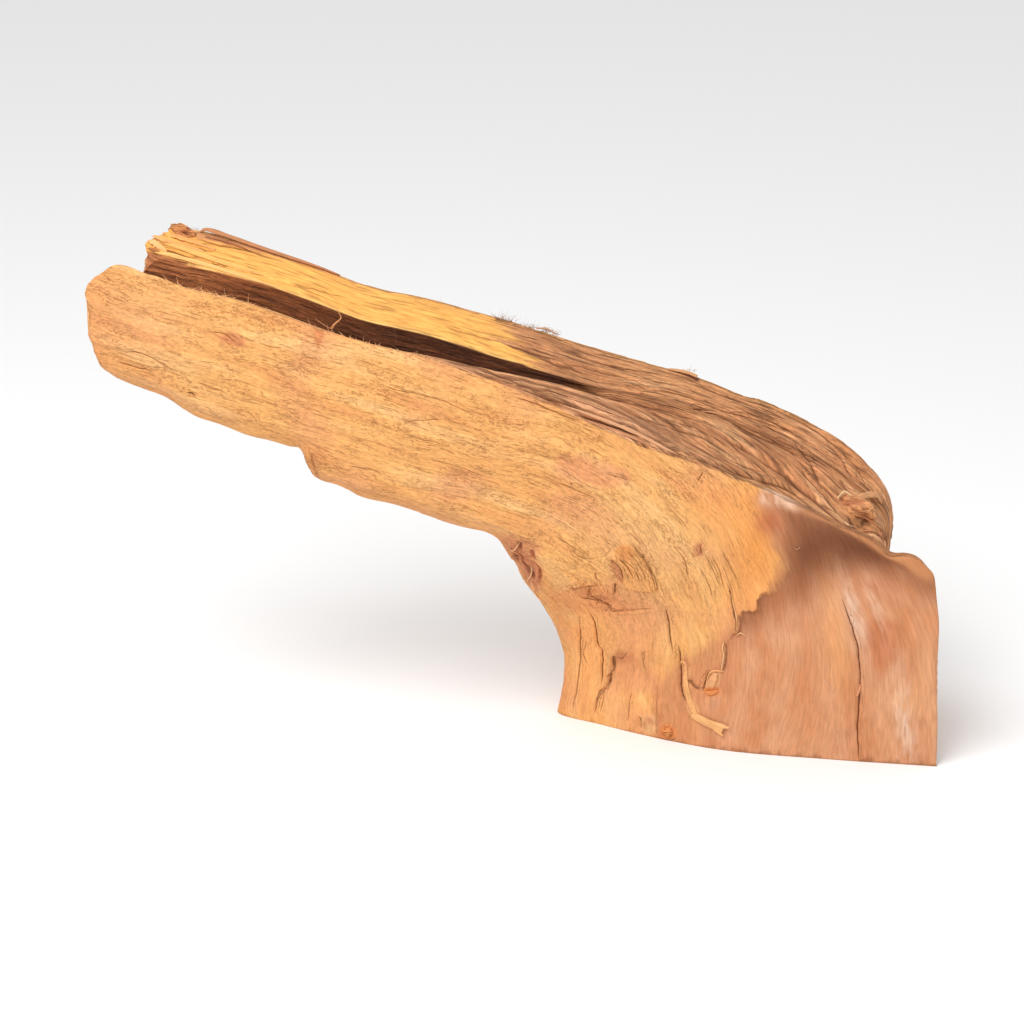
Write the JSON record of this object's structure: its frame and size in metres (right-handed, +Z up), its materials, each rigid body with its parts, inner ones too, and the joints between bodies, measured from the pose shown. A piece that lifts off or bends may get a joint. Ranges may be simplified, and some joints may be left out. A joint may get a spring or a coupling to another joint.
{
  "type": "piece of driftwood",
  "caption": "Bent piece of driftwood: a raised limb, split open along its top, that turns down into a broad sawn foot it stands on.",
  "frame": {"origin": "middle of the sawn foot, on the surface it stands on", "axes": "+Z up, -X towards the tip of the raised limb, -Y towards the face with the sharp ridge, which the picture shows"},
  "size_m": [0.3935, 0.1146, 0.2371],
  "materials": {
    "bare_wood": "dry bare sapwood, orange to pinkish brown, with grey-brown weathered strips inside the split"
  },
  "bodies": {
    "root": {"driftwood": "bare_wood"}
  },
  "joints": []
}
